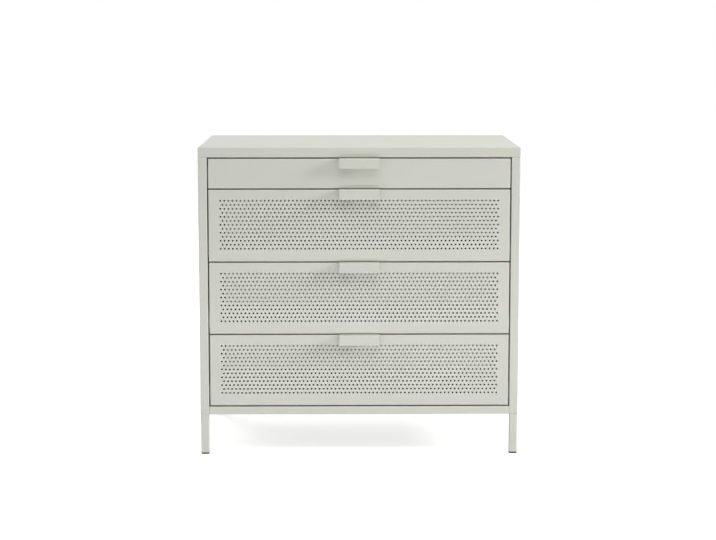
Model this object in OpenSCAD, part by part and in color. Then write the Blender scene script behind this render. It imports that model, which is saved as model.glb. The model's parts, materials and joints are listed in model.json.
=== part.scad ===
// Free-standing steel chest with four drawers. A folded cap lies on two side panels whose
// front and back edges are folded into hollow posts. Four square legs stand up into those
// posts. One shallow plain drawer and three deep perforated ones run on ball slides.
//
// Millimetres. +X is to the right, +Z is up and the fronts face -Y. The origin is on the
// floor, under the middle of the whole, handles included.

/* [Body] */
// Width over the side panels
body_w = 800; // [600:10:1000]
// Depth from the faces of the drawers to the back
body_d = 450; // [380:10:500]
// Thickness of the folded sheet
sheet = 1; // [0.8:0.1:1.2]
// Outer radius of the folds in the sheet
bend_r = 2; // [1.6:0.1:2.6]
// Height of the cap's skirt
cap_h = 25; // [20:1:40]
// Height of the rail under the lowest drawer, which is the floor panel's front flange
rail_h = 20; // [16:1:40]
// Length of the fold that closes each post towards the inside
post_return = 45; // [40:1:60]
// Depth of the flanges round the back panel
back_flange = 15; // [12:1:20]
// Width of the lips turned in under the floor panel
floor_lip = 12; // [8:1:20]

/* [Legs and feet] */
// Width of the square tube of a leg
leg_w = 20; // [18:1:30]
// Wall of that tube
leg_wall = 1.2; // [1:0.1:2]
// Radius of the tube's outer corners
leg_r = 2; // [1.8:0.1:2.4]
// Bare length of a leg below the body
leg_clear = 98; // [60:1:150]
// Length of a leg inside its post
leg_up = 120; // [60:5:200]
// Thickness of a foot's pad
foot_h = 4; // [3:0.5:8]
// Length of a foot's ribbed plug inside the leg
plug_h = 22; // [16:1:40]
// Width of the plug between its ribs
plug_w = 12; // [10:1:14]
// Wall of the hollow plug
plug_wall = 2; // [1.5:0.1:3]
// Thickness of the plug's ribs
rib_t = 1.2; // [0.8:0.1:2]
// Distance between the ribs
rib_pitch = 5; // [4:1:8]

/* [Drawers] */
// Height of the shallow drawer's front
shallow_h = 74; // [70:1:120]
// Height of each deep drawer's front
deep_h = 180; // [120:1:240]
// Gap round the fronts
gap = 3; // [2.5:0.1:4]
// Depth of the folded front pans
pan_d = 18; // [14:1:20]
// Width of the lips at the sides of a front pan
side_lip = 25; // [20:1:27]
// Height of the lip at the foot of a front pan
foot_lip = 20; // [18:1:26]
// Height of the lip at the top of a front pan
top_lip = 12; // [8:1:20]
// Height of the shallow tray's sides
shallow_tray_h = 50; // [46:1:60]
// Height of a deep tray's sides
deep_tray_h = 130; // [60:1:160]
// Height of a tray's underside above the foot of its front
tray_lift = 6; // [4:1:8]
// Width of the hems turned in along the top of a tray's sides
tray_hem = 8; // [6:1:12]
// Width of the tabs that hold a tray to its front
tray_tab = 15; // [12:1:18]
// Depth of the flanges round a tray's back
tray_back_flange = 12; // [8:1:20]
// Room between a tray and the back panel
back_room = 19; // [10:1:30]

/* [Perforation] */
// Diameter of the holes
hole_d = 4.5; // [3:0.1:6]
// Distance between holes and between rows
hole_pitch = 10; // [8:0.5:14]
// Least distance from the first hole to the side of a front
hole_side = 30; // [29:1:50]
// Distance from the first row to the top of a front
hole_top = 27.5; // [20:0.5:50]
// Least distance from the last row to the foot of a front
hole_foot = 32.5; // [24:0.5:50]

/* [Handles] */
// Width of a handle
handle_w = 100; // [60:5:200]
// Height of a handle over its top plate
handle_h = 25; // [20:1:40]
// Distance from a front to the outer face of its handle
handle_reach = 22; // [16:1:35]
// Thickness of the handle's strip
handle_t = 1.5; // [1.2:0.1:1.8]
// Outer radius of the handle's fold
handle_bend = 3; // [2:0.1:5]
// Radius of the handle's lower corners
handle_corner = 3; // [1:0.5:8]
// Depth of the handle's plate over the front pan
handle_plate = 16; // [12:1:18]
// Distance between a handle's two screws
handle_screws = 70; // [30:5:80]

/* [Slides] */
// Height of a slide
slide_h = 35; // [32:1:40]
// Thickness of a slide, from post to tray
slide_w = 12.7; // [12.5:0.1:14]
// Wall of the slide's members
slide_wall = 1.1; // [1:0.1:1.2]
// Depth at which the slides begin
slide_start = 22; // [21:1:26]
// Distance from the end of the slides to the back
slide_back = 28; // [22:1:30]
// Height of a slide's middle above the foot of its front
slide_rise = 31; // [28:1:34]
// Travel of a drawer
travel = 300; // [200:5:310]
// Diameter of the balls
ball_d = 4; // [3.6:0.1:4.2]
// Distance between balls
ball_pitch = 12; // [8:1:20]
// Thickness of the ball cage's strip
cage_t = 0.7; // [0.5:0.1:0.8]
// Clearance round what runs in a slide
play = 0.3; // [0.25:0.05:0.35]

/* [Screws] */
// Diameter of the screws
screw_d = 3.5; // [3:0.5:3.5]
// Diameter of a screw's head
head_d = 7; // [6:0.5:9]
// Height of a head on the body and the fronts
head_h = 2.4; // [1.5:0.1:3]
// Height of the low heads inside the slides
low_head_h = 1.6; // [1.2:0.1:1.8]
// Width across the flats of the socket in a head
socket_w = 2.5; // [2:0.5:3]
// Clearance round a screw in its hole
hole_play = 0.2; // [0.1:0.05:0.4]
// Length of a screw past the sheets that it joins
screw_tail = 5; // [2:1:8]
// Diameter of the two wall fixing holes in the back panel
wall_hole_d = 6; // [4:0.5:8]
// Distance between the wall fixing holes
wall_hole_spacing = 600; // [300:10:620]
// Distance of the wall fixing holes below the cap
wall_hole_drop = 40; // [25:5:80]

/* [Hidden] */
$fn = 48;
eps = 1;

// Drawer 1 is the shallow one at the top
drawers = [1 : 4];
last_drawer = 4;
sides = [-1, 1];

// Levels
floor_z = foot_h + leg_clear;
rail_top = floor_z + rail_h;
case_top = rail_top + gap + (last_drawer - 1) * (deep_h + gap) + shallow_h + gap;
total_h = case_top + cap_h;

// Depths are counted from the faces of the drawers, which lie at front_y
front_y = (handle_reach - body_d) / 2;

// Widths
post_w = leg_w + 2 * sheet;
post_x = body_w / 2 - post_w;
front_w = 2 * (post_x - gap);
tray_w = 2 * (post_x - slide_w);
tray_end = body_d - sheet - back_room;
slide_len = body_d - slide_start - slide_back;

// Slide section: a ball runs between two curled edges, r_in from its middle
r_in = ball_d / 2 + play;
r_out = r_in + slide_wall;
race_v = slide_h / 2 - r_out;
race_u = slide_w - slide_wall - play - r_out;
curl = 25;
curl_overlap = 5;
cage_u = slide_wall + low_head_h + play;
cage_low = 0.7;
cage_len = slide_len - travel - ball_d;
ball_end = 5;
ball_count = floor((cage_len - 2 * ball_end) / ball_pitch) + 1;

// Perforation
hole_cols = floor((front_w - 2 * hole_side) / hole_pitch) + 1;
hole_rows = floor((deep_h - hole_top - hole_foot) / hole_pitch) + 1;

// Screws. Those of the floor panel and of the slides stand in the folds of the posts,
// behind the legs, and those of the back panel stand above the legs.
cap_screw_x = (post_x + body_w / 2) / 2;
cap_screw_depths = [for (i = [-1 : 1]) body_d / 2 + i * body_d / 3];
floor_screw_depth = (leg_w + sheet + post_return) / 2;
floor_screw_depths = [floor_screw_depth, body_d - floor_screw_depth];
floor_screw_z = floor_z + rail_h / 2;
back_screw_depth = body_d - back_flange / 2;
back_screw_low = floor_z + leg_up + post_return;
back_screw_high = case_top - post_return;
back_screw_heights = [for (i = [0 : 2]) back_screw_low + i * (back_screw_high - back_screw_low) / 2];
channel_screw_depths = [(slide_start + post_return) / 2, body_d - (slide_back + post_return) / 2];
rail_screw_depths = [for (i = [1 : 3]) slide_start + i * slide_len / 4];
front_screw_x = (front_w / 2 - side_lip + tray_w / 2) / 2;

function front_h(k) = k == 1 ? shallow_h : deep_h;
function front_z(k) = rail_top + gap + (last_drawer - k) * (deep_h + gap);
function tray_h(k) = k == 1 ? shallow_tray_h : deep_tray_h;
function slide_z(k) = front_z(k) + slide_rise;
function front_screw_heights(k) =
    [for (i = [1, 3]) front_z(k) + tray_lift + i * tray_h(k) / 4];

COATED = "#cdcec4";
ZINC = "#b8bcbe";
BRIGHT = "#d9dcde";
BLACK = "#1c1d1d";

// ---- Shapes that repeat ----

// Rectangle round its middle, with rounded corners
module round_rect(w, h, r) {
    square([w - 2 * r, h], center = true);
    square([w, h - 2 * r], center = true);
    for (x = sides, y = sides) translate([x * (w / 2 - r), y * (h / 2 - r)]) circle(r);
}

// Section of a folded block: its face is the line y = 0 and it reaches down to y = -d
module fold_2d(w, d, r) {
    translate([-w / 2, -d]) square([w, d - r]);
    translate([-w / 2 + r, -d]) square([w - 2 * r, d]);
    for (x = sides) translate([x * (w / 2 - r), -r]) circle(r);
}

// Block whose upper face is folded down along all four edges
module folded_block(w, l, d, r) {
    intersection() {
        rotate([90, 0, 0]) linear_extrude(l, center = true) fold_2d(w, d, r);
        rotate([90, 0, 90]) linear_extrude(w, center = true) fold_2d(l, d, r);
    }
}

// Sheet pan, its face up at z = 0. lips holds the width of the lips turned in along
// both ends in x, then along the low and the high end in y.
module pan(w, l, d, lips) {
    difference() {
        folded_block(w, l, d, bend_r);
        translate([0, 0, -sheet])
            folded_block(w - 2 * sheet, l - 2 * sheet, d - 2 * sheet, bend_r - sheet);
        translate([-w / 2 + lips[0], -l / 2 + lips[1], -d - eps])
            cube([w - 2 * lips[0], l - lips[1] - lips[2], 2 * eps + sheet]);
    }
}

// Screw with its head's underside at z = 0 and its shank up to z = grip
module screw(grip, head) {
    cylinder(d = screw_d, h = grip);
    difference() {
        translate([0, 0, -head]) cylinder(d = head_d, h = head);
        translate([0, 0, -head - eps])
            cylinder(d = socket_w / cos(30), h = head / 2 + eps, $fn = 6);
    }
}

// Hole for a screw, centred on z = 0
module screw_hole(length) {
    cylinder(d = screw_d + 2 * hole_play, h = length, center = true);
}

// Part of a ring, from angle a to angle b
module arc_2d(a, b) {
    steps = 4;
    intersection() {
        difference() {
            circle(r_out);
            circle(r_in);
        }
        polygon(concat([[0, 0]], [for (i = [0 : steps])
            let (t = a + i * (b - a) / steps) 2 * r_out * [cos(t), sin(t)]]));
    }
}

// Moves to the depth and height given, on the left or right as s says, and mirrors
// what follows so that it is drawn once, for the right side
module at_side(s, x, depth, z) {
    mirror([s < 0 ? 1 : 0, 0, 0]) translate([x, front_y + depth, z]) children();
}

// Turns a section drawn as (towards the tray, up) into a bar that runs to the back
module slide_bar(length) {
    rotate([90, 0, 180]) linear_extrude(length) children();
}

// ---- Body ----

module cap() {
    color(COATED) difference() {
        translate([0, front_y + body_d / 2, total_h])
            pan(body_w, body_d, cap_h, [post_w, post_w, post_w]);
        for (s = sides, depth = cap_screw_depths)
            at_side(s, cap_screw_x, depth, case_top) screw_hole(4 * sheet);
    }
}

// Drawn for the right side: a box section that is open towards the inside between its
// two posts, closed at the top, and closed at the foot between the legs
module side_panel(s) {
    h = case_top - floor_z;
    slot = body_d - 2 * post_return;
    color(COATED) difference() {
        at_side(s, body_w / 2 - post_w / 2, body_d / 2, floor_z) linear_extrude(h)
            round_rect(post_w, body_d, bend_r);
        at_side(s, body_w / 2 - post_w / 2, body_d / 2, floor_z + sheet) linear_extrude(h - 2 * sheet)
            round_rect(post_w - 2 * sheet, body_d - 2 * sheet, bend_r - sheet);
        at_side(s, post_x - eps, post_return, floor_z + sheet)
            cube([sheet + 2 * eps, slot, h - 2 * sheet]);
        for (f = sides) leg_place(s, f, floor_z - eps) linear_extrude(sheet + 2 * eps)
            round_rect(leg_w, leg_w, bend_r - sheet);
        for (depth = cap_screw_depths)
            at_side(s, cap_screw_x, depth, case_top) screw_hole(4 * sheet);
        for (depth = floor_screw_depths)
            at_side(s, post_x, depth, floor_screw_z) rotate([0, 90, 0]) screw_hole(4 * sheet);
        for (z = back_screw_heights)
            at_side(s, post_x, back_screw_depth, z) rotate([0, 90, 0]) screw_hole(4 * sheet);
        for (k = drawers, depth = channel_screw_depths)
            at_side(s, post_x, depth, slide_z(k)) rotate([0, 90, 0]) screw_hole(4 * sheet);
    }
}

module back_panel() {
    h = case_top - rail_top;
    color(COATED) difference() {
        translate([0, front_y + body_d, rail_top + h / 2]) rotate([-90, 0, 0])
            pan(2 * post_x, h, back_flange, [sheet, sheet, sheet]);
        for (s = sides, z = back_screw_heights)
            at_side(s, post_x, back_screw_depth, z) rotate([0, 90, 0]) screw_hole(4 * sheet);
        for (s = sides)
            at_side(s, wall_hole_spacing / 2, body_d, case_top - wall_hole_drop)
                rotate([90, 0, 0]) cylinder(d = wall_hole_d, h = 4 * sheet, center = true);
    }
}

module floor_panel() {
    color(COATED) difference() {
        translate([0, front_y + body_d / 2, rail_top])
            pan(2 * post_x, body_d, rail_h, [floor_lip, floor_lip, floor_lip]);
        for (s = sides, depth = floor_screw_depths)
            at_side(s, post_x, depth, floor_screw_z) rotate([0, 90, 0]) screw_hole(4 * sheet);
    }
}

// ---- Legs and feet ----

// Middle of a leg: s is -1 on the left, f is -1 at the front
module leg_place(s, f, z) {
    inset = sheet + leg_w / 2;
    at_side(s, body_w / 2 - inset, body_d / 2 + f * (body_d / 2 - inset), z) children();
}

module leg(s, f) {
    length = leg_clear + leg_up;
    color(COATED) leg_place(s, f, foot_h) difference() {
        linear_extrude(length) round_rect(leg_w, leg_w, leg_r);
        translate([0, 0, -eps]) linear_extrude(length + 2 * eps)
            round_rect(leg_w - 2 * leg_wall, leg_w - 2 * leg_wall, leg_r - leg_wall);
    }
}

// Pad with a hollow plug, held in the leg by its ribs
module foot(s, f) {
    bore = leg_w - 2 * leg_wall;
    color(BLACK) leg_place(s, f, 0) difference() {
        union() {
            linear_extrude(foot_h) round_rect(leg_w, leg_w, leg_r);
            linear_extrude(foot_h + plug_h) round_rect(plug_w, plug_w, leg_r);
            for (z = [foot_h + rib_pitch : rib_pitch : foot_h + plug_h - rib_t])
                translate([0, 0, z]) linear_extrude(rib_t) round_rect(bore, bore, leg_r);
        }
        translate([0, 0, foot_h]) linear_extrude(plug_h + eps)
            square(plug_w - 2 * plug_wall, center = true);
    }
}

// ---- Slides ----

// Fixed member: a channel against the post, its edges curled over the balls
module channel(s, k) {
    color(ZINC) difference() {
        at_side(s, post_x, slide_start, slide_z(k)) slide_bar(slide_len) for (v = sides)
            mirror([0, v < 0 ? 1 : 0]) {
                square([slide_wall, slide_h / 2]);
                translate([0, slide_h / 2 - slide_wall]) square([race_u, slide_wall]);
                translate([race_u, race_v]) arc_2d(-curl, 90);
            }
        for (depth = channel_screw_depths)
            at_side(s, post_x, depth, slide_z(k)) rotate([0, 90, 0]) screw_hole(4 * slide_wall);
    }
}

// Moving member: a narrower channel against the tray, curled under the balls
module rail(s, k) {
    color(ZINC) difference() {
        at_side(s, post_x, slide_start, slide_z(k)) slide_bar(slide_len) for (v = sides)
            mirror([0, v < 0 ? 1 : 0]) {
                translate([slide_w - slide_wall, 0]) square([slide_wall, race_v - r_in]);
                translate([race_u, race_v - r_out]) square([slide_w - race_u, slide_wall]);
                translate([race_u, race_v]) arc_2d(180 + curl_overlap, 270);
            }
        for (depth = rail_screw_depths)
            at_side(s, tray_w / 2, depth, slide_z(k)) rotate([0, 90, 0]) screw_hole(4 * slide_wall);
    }
}

// Ball cage: a strip whose wings reach in between the curled edges, and two rows of balls
module cage(s, k) {
    wing_v = race_v + cage_low;
    wing_reach = sqrt(pow(r_in, 2) - pow(cage_low + cage_t, 2)) - play;
    start = slide_start + (slide_len - cage_len) / 2;
    first = start + (cage_len - (ball_count - 1) * ball_pitch) / 2;
    color(ZINC) difference() {
        at_side(s, post_x, start, slide_z(k)) slide_bar(cage_len) for (v = sides)
            mirror([0, v < 0 ? 1 : 0]) {
                translate([cage_u, 0]) square([cage_t, wing_v + cage_t]);
                translate([cage_u, wing_v]) square([race_u + wing_reach - cage_u, cage_t]);
            }
        for (i = [0 : ball_count - 1], v = sides)
            at_side(s, post_x - race_u, first + i * ball_pitch, slide_z(k) + v * wing_v)
                cylinder(r = ball_d / 2 + play / 2, h = 4 * cage_t, center = true);
    }
    color(BRIGHT) for (i = [0 : ball_count - 1], v = sides)
        at_side(s, post_x - race_u, first + i * ball_pitch, slide_z(k) + v * race_v)
            sphere(d = ball_d);
}

// ---- Drawers ----

module perforation(k) {
    for (r = [0 : hole_rows - 1]) {
        cols = hole_cols - r % 2;
        for (c = [0 : cols - 1])
            translate([(c - (cols - 1) / 2) * hole_pitch, front_y + sheet / 2,
                front_z(k) + deep_h - hole_top - r * hole_pitch])
                rotate([90, 0, 0]) cylinder(d = hole_d, h = 2 * sheet, center = true, $fn = 24);
    }
}

module drawer_front(k) {
    color(COATED) difference() {
        translate([0, front_y, front_z(k) + front_h(k) / 2]) rotate([90, 0, 0])
            pan(front_w, front_h(k), pan_d, [side_lip, foot_lip, top_lip]);
        for (s = sides, z = front_screw_heights(k))
            at_side(s, front_screw_x, pan_d, z) rotate([90, 0, 0]) screw_hole(4 * sheet);
        for (s = sides) at_side(s, handle_screws / 2, handle_plate / 2, front_z(k) + front_h(k))
            screw_hole(4 * sheet);
        if (k > 1) perforation(k);
    }
}

// Sheet folded up at the sides and hemmed inwards, with tabs at the front
module tray(k) {
    h = tray_h(k);
    bottom = front_z(k) + tray_lift;
    tab_top = foot_lip - tray_lift;
    color(COATED) difference() {
        union() {
            translate([0, front_y + tray_end, bottom + h / 2]) rotate([90, 0, 0])
                linear_extrude(tray_end - pan_d) difference() {
                    round_rect(tray_w, h, bend_r);
                    round_rect(tray_w - 2 * sheet, h - 2 * sheet, bend_r - sheet);
                    translate([0, h / 2]) square([tray_w - 2 * tray_hem, 4 * sheet], center = true);
                }
            translate([0, front_y + pan_d + sheet, bottom]) rotate([90, 0, 0])
                linear_extrude(sheet) difference() {
                    translate([0, h / 2]) round_rect(tray_w, h, bend_r);
                    translate([-tray_w / 2 + tray_tab, tab_top]) square([tray_w - 2 * tray_tab, h]);
                }
        }
        for (s = sides, z = front_screw_heights(k))
            at_side(s, front_screw_x, pan_d, z) rotate([90, 0, 0]) screw_hole(4 * sheet);
        for (s = sides, depth = rail_screw_depths)
            at_side(s, tray_w / 2, depth, slide_z(k)) rotate([0, 90, 0]) screw_hole(4 * sheet);
    }
}

// Pan that closes the tray between its sides, its flanges turned to the back
module tray_back(k) {
    h = tray_h(k) - 2 * sheet;
    w = tray_w - 2 * sheet;
    color(COATED) translate([0, front_y + tray_end, front_z(k) + tray_lift + sheet + h / 2])
        rotate([90, 0, 0]) difference() {
            linear_extrude(tray_back_flange) round_rect(w, h, bend_r);
            translate([0, 0, -eps]) linear_extrude(tray_back_flange - sheet + eps)
                round_rect(w - 2 * sheet, h - 2 * sheet, bend_r);
        }
}

// Strip that lies on the front pan, turns down and leaves room for the fingers
module handle(k) {
    top = front_z(k) + front_h(k) + handle_t;
    color(COATED) translate([0, front_y, top]) difference() {
        intersection() {
            rotate([90, 0, 90]) linear_extrude(handle_w, center = true) difference() {
                translate([-handle_reach, 0]) union() {
                    translate([0, -handle_h]) square([handle_reach + handle_plate, handle_h - handle_bend]);
                    translate([handle_bend, -handle_h])
                        square([handle_reach + handle_plate - handle_bend, handle_h]);
                    translate([handle_bend, -handle_bend]) circle(handle_bend);
                }
                translate([-handle_reach + handle_t, -handle_t]) union() {
                    translate([0, -handle_h])
                        square([handle_reach + handle_plate, handle_h - handle_bend + handle_t]);
                    translate([handle_bend - handle_t, -handle_h])
                        square([handle_reach + handle_plate, handle_h]);
                    translate([handle_bend - handle_t, handle_t - handle_bend])
                        circle(handle_bend - handle_t);
                }
            }
            rotate([90, 0, 0]) linear_extrude(4 * handle_h, center = true) rotate(180)
                translate([0, handle_h]) fold_2d(handle_w, 2 * handle_h, handle_corner);
        }
        for (s = sides) translate([s * handle_screws / 2, handle_plate / 2, 0])
            screw_hole(4 * handle_t);
    }
}

// ---- Screws ----

module panel_screws() {
    color(ZINC) for (s = sides) {
        for (depth = cap_screw_depths)
            at_side(s, cap_screw_x, depth, case_top - sheet) screw(2 * sheet + screw_tail, head_h);
        for (depth = floor_screw_depths)
            at_side(s, post_x - sheet, depth, floor_screw_z)
                rotate([0, 90, 0]) screw(2 * sheet + screw_tail, head_h);
        for (z = back_screw_heights)
            at_side(s, post_x - sheet, back_screw_depth, z)
                rotate([0, 90, 0]) screw(2 * sheet + screw_tail, head_h);
    }
}

module slide_screws() {
    color(ZINC) for (s = sides, k = drawers, depth = channel_screw_depths)
        at_side(s, post_x - slide_wall, depth, slide_z(k))
            rotate([0, 90, 0]) screw(slide_wall + sheet + screw_tail, low_head_h);
}

module drawer_screws(k) {
    color(ZINC) for (s = sides) {
        for (z = front_screw_heights(k))
            at_side(s, front_screw_x, pan_d + sheet, z)
                rotate([90, 0, 0]) screw(2 * sheet + screw_tail, head_h);
        at_side(s, handle_screws / 2, handle_plate / 2, front_z(k) + front_h(k) - sheet)
            screw(sheet + handle_t, head_h);
        for (depth = rail_screw_depths)
            at_side(s, tray_w / 2 + slide_wall, depth, slide_z(k))
                rotate([0, -90, 0]) screw(slide_wall + sheet + hole_play, low_head_h);
    }
}

// ---- Nodes ----

cap();
side_panel(-1);  // left_side_panel
side_panel(1);  // right_side_panel
back_panel();
floor_panel();
leg(-1, -1);  // front_left_leg
leg(1, -1);  // front_right_leg
leg(-1, 1);  // back_left_leg
leg(1, 1);  // back_right_leg
foot(-1, -1);  // front_left_foot
foot(1, -1);  // front_right_foot
foot(-1, 1);  // back_left_foot
foot(1, 1);  // back_right_foot
panel_screws();
slide_screws();
for (k = drawers) {
    drawer_front(k);
    tray(k);
    tray_back(k);
    handle(k);
    drawer_screws(k);
    channel(-1, k);
    channel(1, k);
    rail(-1, k);
    rail(1, k);
    cage(-1, k);
    cage(1, k);
}
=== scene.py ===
# %% [markdown]
# # A low steel drawer cabinet
#
# The object is a sheet-steel cabinet on four square legs, with one plain shallow drawer over three
# perforated deep ones. Nearly every piece of it starts as flat sheet, 1 mm thick, that is cut,
# punched, folded in a press brake and powder coated. The scene follows that: a piece is drawn as the
# outer skin of its sheet, the folds are rounded, and the sheet then gets its thickness.
#
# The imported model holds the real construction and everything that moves. This script loads it,
# dresses it and never moves it.

# %% The frame
import json
import math

import bmesh
import bpy
from mathutils import Euler, Matrix, Vector

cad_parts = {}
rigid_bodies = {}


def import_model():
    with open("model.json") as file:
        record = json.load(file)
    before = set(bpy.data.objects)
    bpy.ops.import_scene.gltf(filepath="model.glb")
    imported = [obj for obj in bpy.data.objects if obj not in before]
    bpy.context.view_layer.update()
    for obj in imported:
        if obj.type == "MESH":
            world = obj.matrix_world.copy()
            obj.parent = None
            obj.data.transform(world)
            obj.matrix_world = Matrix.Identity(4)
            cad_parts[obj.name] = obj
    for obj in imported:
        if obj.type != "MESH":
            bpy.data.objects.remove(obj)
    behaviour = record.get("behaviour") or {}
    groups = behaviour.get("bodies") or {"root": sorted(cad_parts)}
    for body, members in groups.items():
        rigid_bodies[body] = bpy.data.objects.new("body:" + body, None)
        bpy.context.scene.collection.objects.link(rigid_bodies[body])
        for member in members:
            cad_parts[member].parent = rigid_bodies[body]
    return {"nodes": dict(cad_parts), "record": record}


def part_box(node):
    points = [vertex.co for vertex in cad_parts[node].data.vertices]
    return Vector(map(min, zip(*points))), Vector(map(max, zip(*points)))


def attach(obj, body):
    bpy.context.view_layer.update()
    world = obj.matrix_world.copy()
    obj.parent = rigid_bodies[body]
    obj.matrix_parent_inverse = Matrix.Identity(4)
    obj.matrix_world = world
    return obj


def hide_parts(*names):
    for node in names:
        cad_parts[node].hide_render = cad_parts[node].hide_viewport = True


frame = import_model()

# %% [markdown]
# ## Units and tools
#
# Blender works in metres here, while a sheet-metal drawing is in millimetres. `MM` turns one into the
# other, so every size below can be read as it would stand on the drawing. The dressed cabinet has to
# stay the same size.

MM = 0.001
scene = bpy.context.scene
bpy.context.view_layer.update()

# %% [markdown]
# ## The camera
#
# The photograph was taken with a long lens from a little above and to the left of the middle. The
# place, turn and lens were worked out from the cabinet's own levels: the gaps between the drawers,
# the rows of holes, the posts and the feet. Part of the downward tilt is taken by shifting the lens,
# as an architectural photographer does, which keeps upright edges nearly parallel.

# %% The camera
SENSOR_W = 36.0
PHOTO_W = 716
LENS_PX = 1647.9
LENS_SHIFT_PX = 50.0
CAMERA_AT = Vector((-42.3, -4282.2, 1082.0))
PITCH_DOWN = 6.822
TURN_RIGHT = 0.550

camera_data = bpy.data.cameras.new("camera")
camera_data.sensor_width = SENSOR_W
camera_data.lens = LENS_PX / PHOTO_W * SENSOR_W
camera_data.shift_y = -LENS_SHIFT_PX / PHOTO_W
camera = bpy.data.objects.new("camera", camera_data)
camera.location = CAMERA_AT * MM
camera.rotation_euler = Euler([math.radians(a) for a in (90 - PITCH_DOWN, 0, -TURN_RIGHT)])
scene.collection.objects.link(camera)
scene.camera = camera
print("lens, mm:", round(camera_data.lens, 2))

# %% [markdown]
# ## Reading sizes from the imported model
#
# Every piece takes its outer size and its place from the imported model, so nothing is fitted by eye.
# `limits` gives the box of one of its nodes in millimetres.

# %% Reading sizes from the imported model
def limits(node):
    """The lowest and the highest corner of a node, in millimetres."""
    return [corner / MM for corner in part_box(node)]


def span(node):
    """The middle of a node's box and its size, in millimetres."""
    low, high = limits(node)
    return (low + high) / 2, high - low


DRAWERS = (1, 2, 3, 4)
SIDES = {"left": -1, "right": 1}
print("cap, mm:", [round(v, 1) for v in span("cap")[1]])

# %% [markdown]
# ## Sheet metal from a skin
#
# A folded part is one sheet of even thickness. Extruding solid walls and joining them would leave
# that thickness to chance, so each part is drawn as a single surface, the outside of the sheet, with
# a sharp edge wherever there is a fold. Modifiers then do what the workshop does. A first Bevel
# rolls each fold to its radius, Solidify gives the sheet its thickness towards the inside, a Boolean
# drills, and a last fine Bevel takes the knife edge off everything that was cut, since powder
# coating always covers a cut edge with a small round.
#
# The Bevel reads its radius from a weight on each edge. Folds get the full bend radius. Corners that
# are closed by a weld, ground flush, get a tighter one.

# %% Sheet metal from a skin
SHEET = 1.0
BEND_R = 2.0
WELD_R = 1.4
CUT_R = 0.2
BEND_STEPS = 5
CUT_STEPS = 2
FOLD_ANGLE = math.radians(30)
CUT_ANGLE = math.radians(60)
PARALLEL = 0.99
UPRIGHT = Vector((0, 0, 1))


def skin(name, points, faces):
    """An object from points in millimetres and the faces between them."""
    mesh = bpy.data.meshes.new(name)
    mesh.from_pydata([Vector(p) * MM for p in points], [], faces)
    made = bpy.data.objects.new(name, mesh)
    scene.collection.objects.link(made)
    return made


def weigh_folds(mesh, welds, weld_share):
    """Weights the edges between two walls: 1 on a fold, less where the edge runs along a weld."""
    form = bmesh.new()
    form.from_mesh(mesh)
    weight = form.edges.layers.float.new("bevel_weight_edge")
    for edge in form.edges:
        if len(edge.link_faces) == 2 and edge.calc_face_angle() > FOLD_ANGLE:
            along = (edge.verts[1].co - edge.verts[0].co).normalized()
            welded = any(abs(along.dot(axis)) > PARALLEL for axis in welds)
            edge[weight] = weld_share if welded else 1
    form.to_mesh(mesh)
    form.free()


def bevel(made, name, radius, steps, limit):
    """Adds a Bevel modifier of that radius, in millimetres, on the edges that the limit picks."""
    rolled = made.modifiers.new(name, "BEVEL")
    rolled.limit_method = limit
    rolled.width = radius * MM
    rolled.segments = steps
    rolled.angle_limit = CUT_ANGLE
    rolled.use_clamp_overlap = False


# %% [markdown]
# ## Rolling, thickening and easing
#
# `fold` takes one skin through the whole workshop, and `settle` keeps the result as a plain mesh. All
# of it is shaded smooth, or a rolled fold would show its steps. The normals are then weighted by the
# size of the faces, so that the flat walls beside a fold still look flat.

# %% Rolling, thickening and easing
def settle(made):
    """Turns the modifiers' result into the object's own mesh, smooth but for its cut edges."""
    result = made.evaluated_get(bpy.context.evaluated_depsgraph_get())
    mesh = bpy.data.meshes.new_from_object(result)
    made.modifiers.clear()
    made.data = mesh
    mesh.shade_smooth()
    mesh.set_sharp_from_angle(angle=CUT_ANGLE)
    made.modifiers.new("flat faces stay flat", "WEIGHTED_NORMAL").keep_sharp = True


def fold(made, welds=(), thickness=SHEET, bend=BEND_R, drills=(), cut_steps=CUT_STEPS):
    """Rolls the folds of a skin, gives it its thickness, drills it and eases its cut edges."""
    weigh_folds(made.data, welds, WELD_R / bend)
    bevel(made, "folds", bend, BEND_STEPS, "WEIGHT")
    sheet = made.modifiers.new("sheet", "SOLIDIFY")
    sheet.thickness = thickness * MM
    sheet.offset = -1
    sheet.use_even_offset = True
    for drill in drills:
        hole = made.modifiers.new("hole", "BOOLEAN")
        hole.object = drill
        hole.solver = "EXACT"
    bevel(made, "cut edges", CUT_R, cut_steps, "ANGLE")
    settle(made)
    for drill in drills:
        bpy.data.objects.remove(drill)


# %% [markdown]
# ## Drilling and dressing
#
# A screw hole is drilled by an upright round cutter, which is removed once the part is folded.

# %% Drilling and dressing
DRILL_LENGTH = 8.0
DRILL_SIDES = 32


def drill_bit(at, radius):
    """An upright round cutter, in millimetres."""
    form = bmesh.new()
    bmesh.ops.create_cone(form, segments=DRILL_SIDES, cap_ends=True, radius1=radius * MM,
                          radius2=radius * MM, depth=DRILL_LENGTH * MM,
                          matrix=Matrix.Translation(Vector(at) * MM))
    mesh = bpy.data.meshes.new("drill")
    form.to_mesh(mesh)
    form.free()
    bit = bpy.data.objects.new("drill", mesh)
    scene.collection.objects.link(bit)
    bit.hide_render = True
    return bit


def dress(made, body, *nodes, slot="powder_coat"):
    """Puts a finished piece on its body in place of the nodes that it stands for."""
    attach(made, body)
    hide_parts(*nodes)
    print(made.name, "faces:", len(made.data.polygons))


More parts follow.
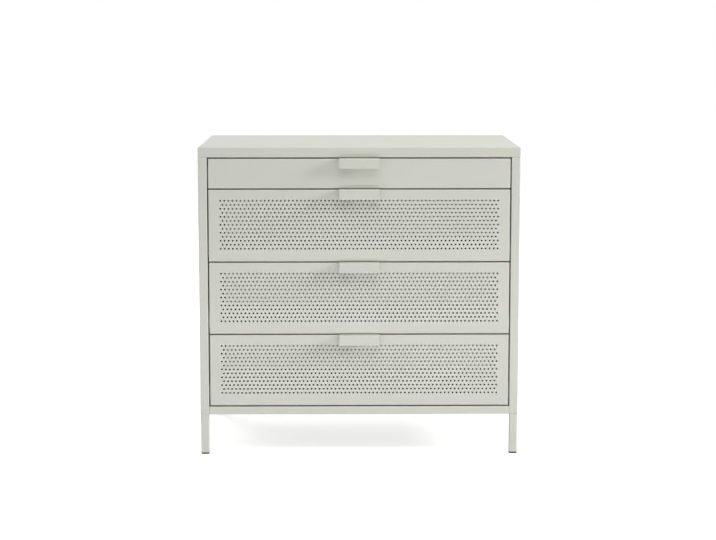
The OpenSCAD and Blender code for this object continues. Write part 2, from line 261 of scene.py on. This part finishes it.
# %% [markdown]
# ## Pans
#
# The cap, the floor, the back and every drawer front are the same kind of part: a flat face with a
# skirt folded down on each side and, on most of them, a narrow lip folded in under the skirt. `pan`
# draws that skin lying on its back, face up, from rings of four corners: the face, the foot of the
# skirt and the inner edge of the lips. A seam between two lips must not run into a corner, where
# three folds already meet and the Bevel would tear, so the lips are drawn as two C-shaped faces
# that meet half way along the short sides.

# %% Pans
def ring(w, l, z, inset=(0, 0, 0)):
    """Four corners, anticlockwise from above, drawn in by a side, a near and a far width."""
    side, near, far = inset
    left, right, low, high = side - w / 2, w / 2 - side, near - l / 2, l / 2 - far
    return [(left, low, z), (right, low, z), (right, high, z), (left, high, z)]


def strips(outer, inner):
    """The four faces between two rings of four, given by their first numbers."""
    return [(outer + i, inner + i, inner + (i + 1) % 4, outer + (i + 1) % 4) for i in range(4)]


def add_skirt(points, faces, w, l, depth, lips=None):
    """Adds a skirt and its lips to a face whose four corners are the first points."""
    a = len(points)
    points += ring(w, l, -depth)
    if not lips:
        faces += strips(0, a)
        return
    points += ring(w, l, -depth, lips)
    inner_x = w / 2 - lips[0]
    points += [(x, 0, -depth) for x in (-w / 2, w / 2, -inner_x, inner_x)]
    left, right, inner_left, inner_right = range(a + 8, a + 12)
    faces += [(0, a, a + 1, 1), (1, a + 1, right, a + 2, 2),
              (2, a + 2, a + 3, 3), (3, a + 3, left, a, 0),
              (left, inner_left, a + 4, a + 5, inner_right, right, a + 1, a),
              (right, inner_right, a + 6, a + 7, inner_left, left, a + 3, a + 2)]


def pan(w, l, depth, lips=None):
    """The points and faces of a pan, face up at z = 0."""
    points, faces = ring(w, l, 0), [(0, 1, 2, 3)]
    add_skirt(points, faces, w, l, depth, lips)
    return points, faces


def stand(made, middle, tilt=0):
    """Places a piece, in millimetres, after tipping it forward by some degrees."""
    tipped = Matrix.Rotation(math.radians(tilt), 4, "X")
    made.matrix_world = Matrix.Translation(Vector(middle) * MM) @ tipped


# %% [markdown]
# ## The cap
#
# The top of the cabinet is one pan laid over the two side panels. Its four corners are welded and
# ground, which is why they look crisper than the long folds. The skirt is 25 mm deep all round, and
# the fine dark seam under it is where it ends and the side panels begin.

# %% The cap
POST_W = 22.0

middle, size = span("cap")
cap = skin("cap_sheet", *pan(size.x, size.y, size.z, (POST_W, POST_W, POST_W)))
fold(cap, welds=[UPRIGHT])
stand(cap, (middle.x, middle.y, limits("cap")[1].z))
dress(cap, "cabinet", "cap")

# %% [markdown]
# ## The side panels
#
# Each side is one sheet whose front and back edges are folded three times into hollow posts: the
# outside, the 22 mm front face that shows beside the drawers, and a return towards the inside that
# carries the slides. A plate closes it at the top and another at the foot. One function draws the
# left side and, mirrored, the right one. Mirroring turns a face inside out, so the order of its
# corners is reversed as well.

# %% The side panels
POST_RETURN = 45.0


def side_skin(name, side):
    """The skin of one side panel, in the cabinet's own place."""
    low, high = limits(f"{name}_side_panel")
    outer, inner = (high.x, low.x) if side > 0 else (low.x, high.x)
    line = [(inner, low.y + POST_RETURN), (inner, low.y), (outer, low.y),
            (outer, high.y), (inner, high.y), (inner, high.y - POST_RETURN)]
    count = len(line)
    points = [(x, y, z) for z in (low.z, high.z) for x, y in line]
    faces = [(i, i + 1, count + i + 1, count + i) for i in range(count - 1)]
    faces.append(tuple(range(count - 1, -1, -1)))
    faces.append(tuple(range(count, 2 * count)))
    if side < 0:
        faces = [face[::-1] for face in faces]
    return skin(f"{name}_side_sheet", points, faces)


for name, side in SIDES.items():
    panel = side_skin(name, side)
    fold(panel)
    dress(panel, "cabinet", f"{name}_side_panel")

# %% [markdown]
# ## The floor and the back
#
# The floor is a pan with its face up. Its front skirt is the rail that shows under the lowest
# drawer. The back is a pan with its face to the wall and two holes near the top, for the screws that
# keep a loaded cabinet from tipping.

# %% The floor and the back
FLOOR_LIP = 12.0
WALL_HOLE_R = 3.0

middle, size = span("floor_panel")
floor_sheet = skin("floor_and_rail_sheet", *pan(size.x, size.y, size.z, (FLOOR_LIP,) * 3))
fold(floor_sheet, welds=[UPRIGHT])
stand(floor_sheet, (middle.x, middle.y, limits("floor_panel")[1].z))
dress(floor_sheet, "cabinet", "floor_panel")

middle, size = span("back_panel")
wall_fixing = next(m for m in frame["record"]["mounts"] if m["name"] == "wall_fixing")
hole_up = middle.z - wall_fixing["pos_m"][2] / MM
hole_out = wall_fixing["dims"]["spacing_x_mm"] / 2
bits = [drill_bit((side * hole_out, hole_up, 0), WALL_HOLE_R) for side in SIDES.values()]
back_sheet = skin("back_sheet", *pan(size.x, size.z, size.y))
fold(back_sheet, welds=[UPRIGHT], drills=bits)
stand(back_sheet, (middle.x, limits("back_panel")[1].y, middle.z), tilt=-90)
dress(back_sheet, "cabinet", "back_panel")

# %% [markdown]
# ## The legs
#
# A leg is a length of welded square tube, 20 mm across with a 1.2 mm wall, that stands up into the
# hollow post and is welded there. As a skin it is four walls with no ends, so Solidify leaves a real
# tube that a foot can be plugged into.

# %% The legs
TUBE_WALL = 1.2
ENDS = ("front", "back")

for end in ENDS:
    for name in SIDES:
        node = f"{end}_{name}_leg"
        middle, size = span(node)
        rims = ring(size.x, size.y, size.z / 2) + ring(size.x, size.y, -size.z / 2)
        leg = skin(f"{node}_tube", rims, strips(0, 4))
        fold(leg, thickness=TUBE_WALL)
        stand(leg, middle)
        dress(leg, "cabinet", node)

# %% [markdown]
# ## The plain drawer front
#
# A front is a pan stood on its edge, 18 mm deep. Its side lips carry the screws to the tray, and the
# top one keeps the long edge straight. `FRONT_LIPS` holds the widths of the side lips, the foot lip
# and the top lip.

# %% The plain drawer front
FRONT_LIPS = (25.0, 20.0, 12.0)

middle, size = span("drawer_1_front")
plain_front = skin("drawer_1_front_sheet", *pan(size.x, size.z, size.y, FRONT_LIPS))
fold(plain_front, welds=[UPRIGHT])
stand(plain_front, (middle.x, limits("drawer_1_front")[0].y, middle.z), tilt=90)
dress(plain_front, "drawer_1", "drawer_1_front")

# %% [markdown]
# ## The perforated fronts
#
# The three deep fronts are punched with 4.5 mm holes, 10 mm apart, in thirteen rows. The rows hold 70
# and 69 holes in turn, so each row stands half a step aside from the one above it. Cutting 904 holes
# with Booleans is slow and leaves poor faces, and an image would lose the depth of the holes. The
# face is therefore built from punched cells: a 10 mm square with a round hole, its rim joined to the
# square by sixteen quads. The points round a cell stand 2.5 mm apart, a quarter of a step, so cells
# that are half a step aside still share all their points and the sheet stays in one piece. A row of
# 69 ends in plain half cells, and four borders reach from the field of holes to the corners. The
# rims are so many that each gets one facet for its eased edge, which keeps a front under 200,000
# triangles.

# %% The perforated fronts
HOLE_D = 4.5
PITCH = 10.0
ROWS = 13
LONG_ROW = 70
FIELD_TOP = 22.5
QUARTER = PITCH / 4
ROUND_CELL = [(2, 0), (2, 1), (2, 2), (1, 2), (0, 2), (-1, 2), (-2, 2), (-2, 1),
              (-2, 0), (-2, -1), (-2, -2), (-1, -2), (0, -2), (1, -2), (2, -2), (2, -1)]


def punched_face(w, l):
    """Points and faces of a perforated face, its four outer corners first."""
    points = ring(w, l, 0)
    known = {}
    faces = []
    left, top = -LONG_ROW * PITCH / 2, l / 2 - FIELD_TOP
    right, foot = -left, top - ROWS * PITCH

    def point(x, y):
        key = (round(x / QUARTER), round((y - foot) / QUARTER))
        if key not in known:
            known[key] = len(points)
            points.append((x, y, 0))
        return known[key]

    def run(x0, y0, x1, y1):
        """The points from one place towards another, a quarter step apart, the last left out."""
        count = round(max(abs(x1 - x0), abs(y1 - y0)) / QUARTER)
        return [point(x0 + (x1 - x0) * i / count, y0 + (y1 - y0) * i / count) for i in range(count)]

    def plain_cell(x0, x1, y0, y1):
        """A cell with no hole, whose border takes in the points that its neighbours use."""
        near, far = run(x0, y0, x1, y0), run(x1, y1, x0, y1)
        faces.append(near + run(x1, y0, x1, y1) + far + run(x0, y1, x0, y0))

    for row in range(ROWS):
        y = top - (row + 0.5) * PITCH
        aside = PITCH / 2 * (row % 2)
        for column in range(LONG_ROW - row % 2):
            x = left + aside + (column + 0.5) * PITCH
            rim = []
            for i in range(len(ROUND_CELL)):
                turn = 2 * math.pi * i / len(ROUND_CELL)
                rim.append(len(points))
                points.append((x + HOLE_D / 2 * math.cos(turn), y + HOLE_D / 2 * math.sin(turn), 0))
            square = [point(x + a * QUARTER, y + b * QUARTER) for a, b in ROUND_CELL]
            for i in range(len(rim)):
                j = (i + 1) % len(rim)
                faces.append((square[i], square[j], rim[j], rim[i]))
        if aside:
            for x in (left, right - aside):
                plain_cell(x, x + aside, y - PITCH / 2, y + PITCH / 2)
    borders = [run(left, foot, right, foot) + [point(right, foot)],
               run(right, foot, right, top) + [point(right, top)],
               run(right, top, left, top) + [point(left, top)],
               run(left, top, left, foot) + [point(left, foot)]]
    for i, border in enumerate(borders):
        faces.append([i, (i + 1) % 4] + border[::-1])
    return points, faces


def perforated_front(size):
    """The skin of a deep drawer front: a punched face with the skirt and lips of a pan."""
    points, faces = punched_face(size.x, size.z)
    add_skirt(points, faces, size.x, size.z, size.y, FRONT_LIPS)
    return skin("perforated_front", points, faces)


pattern = perforated_front(span("drawer_2_front")[1])
fold(pattern, welds=[UPRIGHT], cut_steps=1)
for k in DRAWERS[1:]:
    node = f"drawer_{k}_front"
    front = pattern.copy()
    front.name = f"{node}_sheet"
    scene.collection.objects.link(front)
    middle = span(node)[0]
    stand(front, (middle.x, limits(node)[0].y, middle.z), tilt=90)
    dress(front, f"drawer_{k}", node)
bpy.data.objects.remove(pattern)

# %% [markdown]
# ## The handles
#
# A handle is a 1.5 mm strip, thicker than the rest because it is pulled on. It lies on the top edge
# of its front, reaches 22 mm forward and turns down 25 mm, which leaves room for four fingers behind
# it. Two screws from below hold it, so its plate is drilled. The lower corners are rounded with a
# short arc in the outline itself, since that is cut with the sheet and not folded.

# %% The handles
HANDLE_T = 1.5
HANDLE_BEND = 3.0
HANDLE_CORNER = 3.0
HANDLE_SCREWS = 70.0
SCREW_HOLE_R = 1.95
FRONT_EDGE_TO_SCREW = 8.0


def corner_arc(x, z, start, steps=6):
    """Points of a quarter circle round (x, z), anticlockwise from an angle in degrees."""
    turns = [math.radians(start + 90 * i / steps) for i in range(steps + 1)]
    return [(x + HANDLE_CORNER * math.cos(t), z + HANDLE_CORNER * math.sin(t)) for t in turns]


for k in DRAWERS:
    node = f"drawer_{k}_handle"
    low, high = limits(node)
    screw_y = limits(f"drawer_{k}_front")[0].y + FRONT_EDGE_TO_SCREW
    outline = corner_arc(low.x + HANDLE_CORNER, low.z + HANDLE_CORNER, 180)
    outline += corner_arc(high.x - HANDLE_CORNER, low.z + HANDLE_CORNER, 270)
    plate = [(low.x, high.y), (high.x, high.y), (high.x, low.y), (low.x, low.y)]
    points = [(x, y, high.z) for x, y in plate] + [(x, low.y, z) for x, z in outline]
    tab = list(range(2, len(points)))
    strip = skin(f"{node}_strip", points, [(0, 3, 2, 1), tab])
    bits = [drill_bit((side * HANDLE_SCREWS / 2, screw_y, high.z), SCREW_HOLE_R)
            for side in SIDES.values()]
    fold(strip, thickness=HANDLE_T, bend=HANDLE_BEND, drills=bits)
    dress(strip, f"drawer_{k}", node)

# %% [markdown]
# ## The trays
#
# Behind each front is a tray: a sheet folded up at the sides and hemmed inwards along the top, with
# a flat U-shaped flange at the front end that is screwed to the front's lips, and a small pan that
# closes its back. The skin is one profile carried from front to back, plus the flange. The flange is
# spot-welded on, so it is a face of its own that only touches the profile.

# %% The trays
HEM = 8.0
TAB = 15.0
FRONT_STRIP = 14.0


def tray_skin(name, low, high):
    """The skin of a tray in the cabinet's own place."""
    wall = [(low.x, high.z), (low.x, low.z), (high.x, low.z), (high.x, high.z)]
    line = [(low.x + HEM, high.z)] + wall + [(high.x - HEM, high.z)]
    count = len(line)
    points = [(x, y, z) for y in (low.y + SHEET, high.y) for x, z in line]
    faces = [(i, count + i, count + i + 1, i + 1) for i in range(count - 1)]
    strip_z = low.z + FRONT_STRIP
    left, right = low.x + TAB, high.x - TAB
    flange = wall + [(right, high.z), (right, strip_z), (left, strip_z), (left, high.z)]
    faces.append(tuple(range(len(points), len(points) + len(flange))))
    points += [(x, low.y, z) for x, z in flange]
    return skin(name, points, faces)


for k in DRAWERS:
    low, high = limits(f"drawer_{k}_tray")
    tray = tray_skin(f"drawer_{k}_tray_sheet", low, high)
    fold(tray)
    dress(tray, f"drawer_{k}", f"drawer_{k}_tray")
    middle, size = span(f"drawer_{k}_back")
    tray_back = skin(f"drawer_{k}_back_sheet", *pan(size.x, size.z, size.y))
    fold(tray_back, welds=[UPRIGHT])
    stand(tray_back, (middle.x, limits(f"drawer_{k}_back")[0].y, middle.z), tilt=90)
    dress(tray_back, f"drawer_{k}", f"drawer_{k}_back")

# %% [markdown]
# ## Colours and nodes
#
# A finish is a small graph of nodes. `linear` turns a colour as it is read off a screen into the
# linear light that a shader works in, and `add_node` adds one node with its settings and its inputs,
# each of which is a value or another node's output.

# %% Colours and nodes
def linear(code):
    """A linear colour from an sRGB hex code."""
    shares = [int(code[i:i + 2], 16) / 255 for i in (1, 3, 5)]
    return [s / 12.92 if s <= 0.04045 else ((s + 0.055) / 1.055) ** 2.4 for s in shares] + [1]


def add_node(tree, kind, inputs, **settings):
    """Adds a node. Each input takes a value or another node's output."""
    node = tree.nodes.new(kind)
    for name, value in settings.items():
        setattr(node, name, value)
    for key, value in inputs.items():
        if isinstance(value, bpy.types.NodeSocket):
            tree.links.new(value, node.inputs[key])
        else:
            node.inputs[key].default_value = value
    return node


def finish_called(name):
    """A new material and its empty graph."""
    material = bpy.data.materials.new(name)
    material.use_nodes = True
    material.node_tree.nodes.clear()
    return material, material.node_tree


# %% [markdown]
# ## The steps of a finish
#
# All the finishes below are made in the same few steps: a noise with features of a real size, its
# values spread over a range, two colours blended by it, and a relief of a real depth. Each step is a
# small function. A noise mostly stays near the middle of its 0 to 1, so `MID_NOISE` is the part of
# it that is spread. `MIX_A`, `MIX_B` and `MIX_OUT` are the numbers of a Mix node's colour sockets,
# whose names it uses for other kinds of value too.

# %% The steps of a finish
MID_NOISE = (0.3, 0.7)
MIX_A, MIX_B, MIX_OUT = 6, 7, 2
RESIN_IOR = 1.5


def per_mm(length):
    """The scale of a pattern whose features are that many millimetres apart."""
    return 1 / (length * MM)


def noise(tree, at, scale, detail):
    """A noise from 0 to 1 at those coordinates."""
    made = add_node(tree, "ShaderNodeTexNoise", {"Vector": at, "Scale": scale, "Detail": detail})
    return made.outputs["Fac"]


def spread(tree, value, given, wanted=(0, 1)):
    """Stretches one range of a value over another and cuts off what lies outside."""
    return add_node(tree, "ShaderNodeMapRange", {
        "Value": value, "From Min": given[0], "From Max": given[1],
        "To Min": wanted[0], "To Max": wanted[1]}).outputs[0]


def blend(tree, share, first, second):
    """A colour between two others."""
    made = add_node(tree, "ShaderNodeMix", {"Factor": share, MIX_A: first, MIX_B: second}, data_type="RGBA")
    return made.outputs[MIX_OUT]


def relief(tree, height, depth_mm):
    """The normal of a surface that a pattern raises and sinks by so many millimetres."""
    made = add_node(tree, "ShaderNodeBump", {"Height": height, "Distance": depth_mm * MM})
    return made.outputs["Normal"]


def end_with(tree, inputs):
    """Ends a graph with a Principled shader that takes those inputs."""
    shader = add_node(tree, "ShaderNodeBsdfPrincipled", inputs)
    add_node(tree, "ShaderNodeOutputMaterial", {"Surface": shader.outputs[0]})


# %% [markdown]
# ## Satin powder coat
#
# The grey-white finish is polyester powder, sprayed on dry and melted in an oven. The melt never
# flows quite flat: it leaves a soft ripple, called orange peel, a few millimetres across and some
# hundredths of a millimetre deep, which breaks up highlights. The film is a little thicker in some
# places than in others, which shifts the colour by a shade, and fine grains of powder leave a faint
# speckle. All three are noise, in object space so that they stay on a drawer as it moves. The
# object's own random number shifts the pattern by up to `APART` metres, or the three equal fronts
# would be copies.

# %% Satin powder coat
COAT = "#cecfc5"
COAT_THIN = "#cdcec4"
COAT_GRAIN = "#c6c7bc"
FILM_MM, PEEL_MM, GRAIN_MM = 110, 2.6, 1.1
PEEL_DEPTH_MM = 0.03
FILM_EDGE = (0.35, 0.65)
GRAIN_TIPS, GRAIN_SHARE = (0.55, 0.75), (0, 0.5)
COAT_ROUGHNESS = (0.4, 0.44)
APART = (3, 5, 7)

powder_coat, tree = finish_called("satin powder coat")
place = add_node(tree, "ShaderNodeTexCoord", {}).outputs["Object"]
one_of = add_node(tree, "ShaderNodeObjectInfo", {}).outputs["Random"]
spot = add_node(tree, "ShaderNodeVectorMath", {0: one_of, 1: APART, 2: place},
                operation="MULTIPLY_ADD").outputs[0]
film = noise(tree, spot, per_mm(FILM_MM), detail=3)
peel = noise(tree, spot, per_mm(PEEL_MM), detail=1)
grain = noise(tree, spot, per_mm(GRAIN_MM), detail=2)
tone = blend(tree, spread(tree, film, FILM_EDGE), linear(COAT), linear(COAT_THIN))
grainy = spread(tree, grain, GRAIN_TIPS, GRAIN_SHARE)
end_with(tree, {
    "Base Color": blend(tree, grainy, tone, linear(COAT_GRAIN)),
    "Roughness": spread(tree, film, MID_NOISE, COAT_ROUGHNESS),
    "Normal": relief(tree, peel, PEEL_DEPTH_MM), "IOR": RESIN_IOR})

# %% [markdown]
# ## Bright zinc plate
#
# The slides are rolled from bright zinc-plated strip, and the screws are plated in a barrel. Zinc is
# a pale, slightly bluish metal. Rolling leaves lines along the strip, so one noise is stretched
# along the slide's length and drives the roughness, and a wide, soft one clouds the colour as the
# passivating bath does.

# %% Bright zinc plate
ZINC = "#c6cacd"
ZINC_CLOUD = "#b3b5b0"
CLOUD_MM, LINE_MM, LINE_RUN_MM = 25, 0.6, 60
LINE_DEPTH_MM = 0.004
ZINC_ROUGHNESS = (0.24, 0.42)

zinc, tree = finish_called("bright zinc plate")
place = add_node(tree, "ShaderNodeTexCoord", {}).outputs["Object"]
along = (per_mm(LINE_MM), per_mm(LINE_RUN_MM), per_mm(LINE_MM))
rolled = add_node(tree, "ShaderNodeMapping", {"Vector": place, "Scale": along}).outputs[0]
lines = noise(tree, rolled, 1, detail=2)
cloud = noise(tree, place, per_mm(CLOUD_MM), detail=2)
end_with(tree, {
    "Base Color": blend(tree, cloud, linear(ZINC), linear(ZINC_CLOUD)), "Metallic": 1,
    "Roughness": spread(tree, lines, MID_NOISE, ZINC_ROUGHNESS),
    "Normal": relief(tree, lines, LINE_DEPTH_MM)})

# %% [markdown]
# ## Moulded black plastic
#
# The feet are injection-moulded polyethylene in a spark-eroded mould. That gives a matt, finely
# pitted black, which a small noise in both the bump and the roughness stands for.

# %% Moulded black plastic
PLASTIC = "#161717"
PIT_MM, PIT_DEPTH_MM = 0.7, 0.03
PLASTIC_ROUGHNESS = (0.5, 0.65)

plastic, tree = finish_called("moulded black plastic")
place = add_node(tree, "ShaderNodeTexCoord", {}).outputs["Object"]
pits = noise(tree, place, per_mm(PIT_MM), detail=2)
end_with(tree, {
    "Base Color": linear(PLASTIC), "Roughness": spread(tree, pits, MID_NOISE, PLASTIC_ROUGHNESS),
    "Normal": relief(tree, pits, PIT_DEPTH_MM), "IOR": RESIN_IOR})

# %% [markdown]
# ## Giving each piece its finish
#
# Every new sheet is powder coated. The nodes that stay as they are take the finish of their slot in
# the record.

# %% Giving each piece its finish
FINISHES = {"powder_coat": powder_coat, "zinc_steel": zinc, "foot_plastic": plastic}
slot_of = {part["node"]: part["material_slot"] for part in frame["record"]["subparts"]}

for node, made in frame["nodes"].items():
    made.data.materials.clear()
    made.data.materials.append(FINISHES[slot_of[node]])
for made in scene.objects:
    if made.type == "MESH" and made.name not in frame["nodes"]:
        made.data.materials.clear()
        made.data.materials.append(powder_coat)

# %% [markdown]
# ## Floor and background
#
# The photograph has a plain white ground. A floor bright enough to look white would throw too much
# light up under the cabinet, so the floor is two shaders in one. Light Path tells them apart: rays
# from the camera and from glossy or clear surfaces meet white paper, with some glow so that it stays
# white far from the lamps, and all other light bounces off a grey one. The world does the same.

# %% Floor and background
FLOOR_W = 30000
FLOOR_BOUNCE = 0.45
PAPER_WHITE = 0.95
PAPER_GLOW = 0.63
SKY_LIGHT = 0.4
BACKDROP = 1


def grey(share):
    """A neutral linear colour."""
    return (share, share, share, 1)


def larger(tree, first, second):
    """The larger of two values."""
    return add_node(tree, "ShaderNodeMath", {0: first, 1: second}, operation="MAXIMUM").outputs[0]


def seen_or_bounced(tree, bounced, seen):
    """One shader for light that bounces, and another for what is seen, reflected or refracted."""
    path = add_node(tree, "ShaderNodeLightPath", {}).outputs
    mirrored = larger(tree, path["Is Glossy Ray"], path["Is Transmission Ray"])
    direct = larger(tree, path["Is Camera Ray"], mirrored)
    return add_node(tree, "ShaderNodeMixShader", {0: direct, 1: bounced, 2: seen}).outputs[0]


paper, tree = finish_called("white paper")
bounce = add_node(tree, "ShaderNodeBsdfDiffuse", {"Color": grey(FLOOR_BOUNCE)}).outputs[0]
white = add_node(tree, "ShaderNodeBsdfDiffuse", {"Color": grey(PAPER_WHITE)}).outputs[0]
glow = add_node(tree, "ShaderNodeEmission", {"Strength": PAPER_GLOW}).outputs[0]
bright = add_node(tree, "ShaderNodeAddShader", {0: white, 1: glow}).outputs[0]
add_node(tree, "ShaderNodeOutputMaterial", {"Surface": seen_or_bounced(tree, bounce, bright)})

ground = skin("ground", ring(FLOOR_W, FLOOR_W, 0), [(0, 1, 2, 3)])
ground.data.materials.append(paper)

scene.world = bpy.data.worlds.new("studio")
scene.world.use_nodes = True
tree = scene.world.node_tree
tree.nodes.clear()
sky = add_node(tree, "ShaderNodeBackground", {"Color": grey(1), "Strength": SKY_LIGHT}).outputs[0]
backdrop = add_node(tree, "ShaderNodeBackground", {"Color": grey(1), "Strength": BACKDROP}).outputs[0]
add_node(tree, "ShaderNodeOutputWorld", {"Surface": seen_or_bounced(tree, sky, backdrop)})

# %% [markdown]
# ## Lamps
#
# The light in the photograph is soft and comes from the right and from in front: the fronts grow
# paler to the right and downwards, and each handle throws a long soft shadow to its left. The
# length of that shadow, three times the handle's reach, puts the key lamp almost beside the
# cabinet, and the small difference between its left and right ends puts it far away. A large lamp
# overhead lights the top and softens the key's shadows, a low strip in front lifts the lower
# drawers, and a lamp far behind lights the back and the left side, which matters as soon as the
# camera goes round. The key and the rear lamp are kept out of mirror reflections, where they would
# burn a bright patch into the top.

# %% Lamps
def softbox(name, at, aim, width, height, watts, mirrored=True):
    """A rectangular lamp, its place, aim and size in millimetres."""
    lamp = bpy.data.lights.new(name, "AREA")
    lamp.shape = "RECTANGLE"
    lamp.size, lamp.size_y = width * MM, height * MM
    lamp.energy = watts
    made = bpy.data.objects.new(name, lamp)
    made.location = Vector(at) * MM
    made.rotation_euler = (Vector(aim) - Vector(at)).to_track_quat("-Z", "Y").to_euler()
    made.visible_camera = False
    made.visible_glossy = mirrored
    scene.collection.objects.link(made)


softbox("key", at=(4600, -1200, 2300), aim=(0, -200, 500),
        width=1300, height=1300, watts=188, mirrored=False)
softbox("overhead", at=(0, -1800, 3400), aim=(0, 0, 500),
        width=2000, height=2000, watts=31.5)
softbox("floor strip", at=(0, -1400, 40), aim=(0, -250, 200),
        width=2400, height=200, watts=8.8)
softbox("rear fill", at=(-2400, 3000, 1500), aim=(0, 0, 400),
        width=1800, height=1800, watts=75, mirrored=False)
scene.view_settings.view_transform = "Standard"
